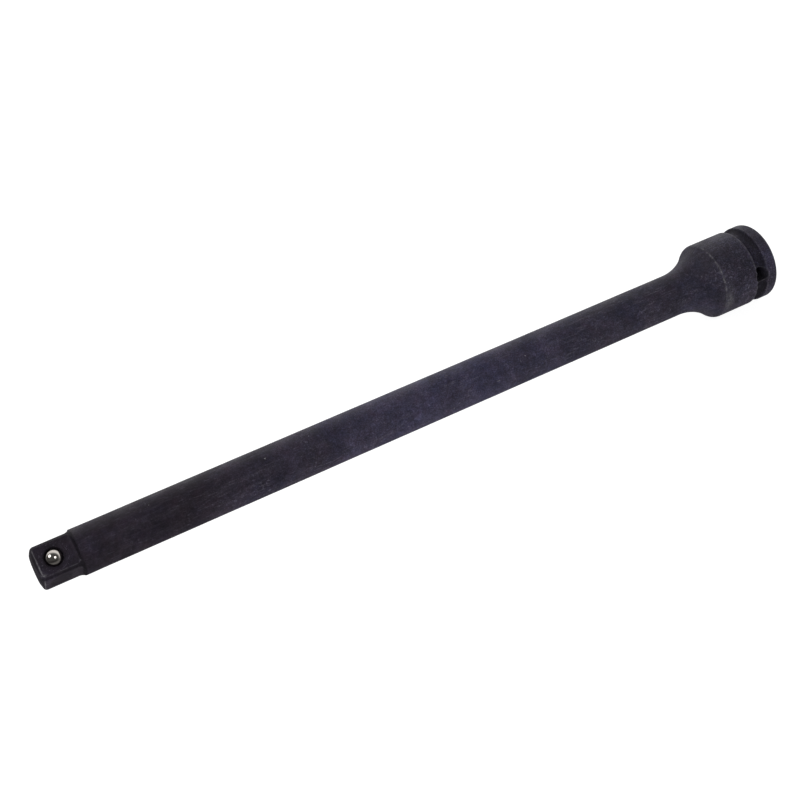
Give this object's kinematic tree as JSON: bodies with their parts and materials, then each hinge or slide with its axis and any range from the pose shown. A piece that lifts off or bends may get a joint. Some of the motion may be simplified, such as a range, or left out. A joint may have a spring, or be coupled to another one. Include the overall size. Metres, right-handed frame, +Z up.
{
  "type": "impact extension bar",
  "caption": "Long round impact extension bar with a male square drive and detent ball at one end and a flared female square socket head with ring groove and pin hole at the other.",
  "frame": {"origin": "centre of the end face of the male drive square, on the axis of the bar", "axes": "+X along the bar from the drive square to the socket end, +Y along the pin hole through the socket head, +Z up, square to both"},
  "size_m": [0.3, 0.0298, 0.0298],
  "materials": {
    "forged_steel": "black phosphate over forged and milled steel, satin",
    "ball_steel": "polished hardened steel ball",
    "spring_steel": "oiled spring wire"
  },
  "bodies": {
    "bar": {"extension_bar": "forged_steel", "detent_spring": "spring_steel"},
    "ball": {"detent_ball": "ball_steel"}
  },
  "joints": [
    {"name": "detent_press", "type": "slide", "parent": "bar", "child": "ball", "axis": [0, 0.7071, -0.7071], "range_m": [0, 0.0015], "stiffness_N_per_m": 2500, "springref_m": -0.001, "deforming": ["detent_spring"]}
  ]
}
